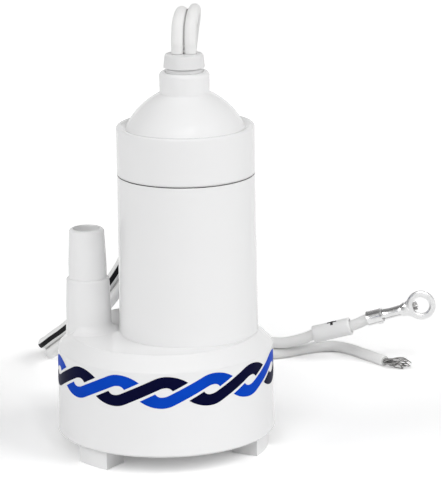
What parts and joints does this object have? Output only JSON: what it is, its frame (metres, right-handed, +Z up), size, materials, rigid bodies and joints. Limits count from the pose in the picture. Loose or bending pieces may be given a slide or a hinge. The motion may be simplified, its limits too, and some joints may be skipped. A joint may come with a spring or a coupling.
{
  "type": "caravan water pump",
  "caption": "Submersible 12 V water pump: round footed base with a stepped hose spigot, upright motor housing, domed cap with cable gland, and a two-core flex with a ring terminal.",
  "frame": {"origin": "on the floor under the centre of the round base, with the feet on z = 0", "axes": "+Z up along the motor, -X towards the hose spigot, -Y towards the front"},
  "size_m": [0.1242, 0.1264, 0.1263],
  "materials": {
    "body_plastic": "white moulded plastic, satin gloss",
    "cap_plastic": "white moulded plastic, satin gloss",
    "plate_plastic": "white moulded plastic, satin",
    "gland_plastic": "pale grey moulded plastic, satin",
    "flex_pvc": "white soft plastic insulation",
    "sleeve_pvc": "white soft plastic sleeve",
    "tinned_metal": "bright tinned metal",
    "seal_rubber": "black seal rubber",
    "plated_steel": "zinc-plated steel",
    "ground_steel": "ground steel",
    "core_steel": "stacked steel sheets",
    "ferrite": "dark ferrite",
    "bronze": "sintered bronze",
    "spring_brass": "spring brass",
    "copper": "copper",
    "carbon": "graphite",
    "black_plastic": "black moulded plastic",
    "brown_plastic": "brown moulding compound",
    "washer_plastic": "nylon",
    "impeller_plastic": "natural moulded plastic"
  },
  "bodies": {
    "pump": {"pump_body": "body_plastic", "intake_plate": "plate_plastic", "top_cap": "cap_plastic", "cap_seal": "seal_rubber", "cable_gland": "gland_plastic", "gland_seal": "seal_rubber", "motor_cushion": "seal_rubber", "motor_can": "plated_steel", "magnets": "ferrite", "magnet_clips": "plated_steel", "front_bush": "bronze", "end_bell": "black_plastic", "rear_bush": "bronze", "brush_arms": "spring_brass", "carbon_brushes": "carbon", "motor_terminals": "spring_brass", "inner_leads": "flex_pvc", "shaft_seal": "seal_rubber", "seal_spring": "plated_steel", "seal_retainer": "plated_steel", "twin_lead": "flex_pvc", "positive_leg": "flex_pvc", "negative_leg": "flex_pvc", "polarity_sleeve": "sleeve_pvc", "ring_terminal": "tinned_metal", "bare_strands": "tinned_metal"},
    "rotor": {"motor_shaft": "ground_steel", "armature_core": "core_steel", "armature_windings": "copper", "commutator_hub": "brown_plastic", "commutator_segments": "copper", "thrust_washers": "washer_plastic", "impeller_insert": "spring_brass", "impeller": "impeller_plastic"}
  },
  "joints": [
    {"name": "rotor_spin", "type": "hinge", "parent": "pump", "child": "rotor", "pos_m": [0.0068, 0, 0.02], "axis": [0, 0, 1], "continuous": true}
  ]
}
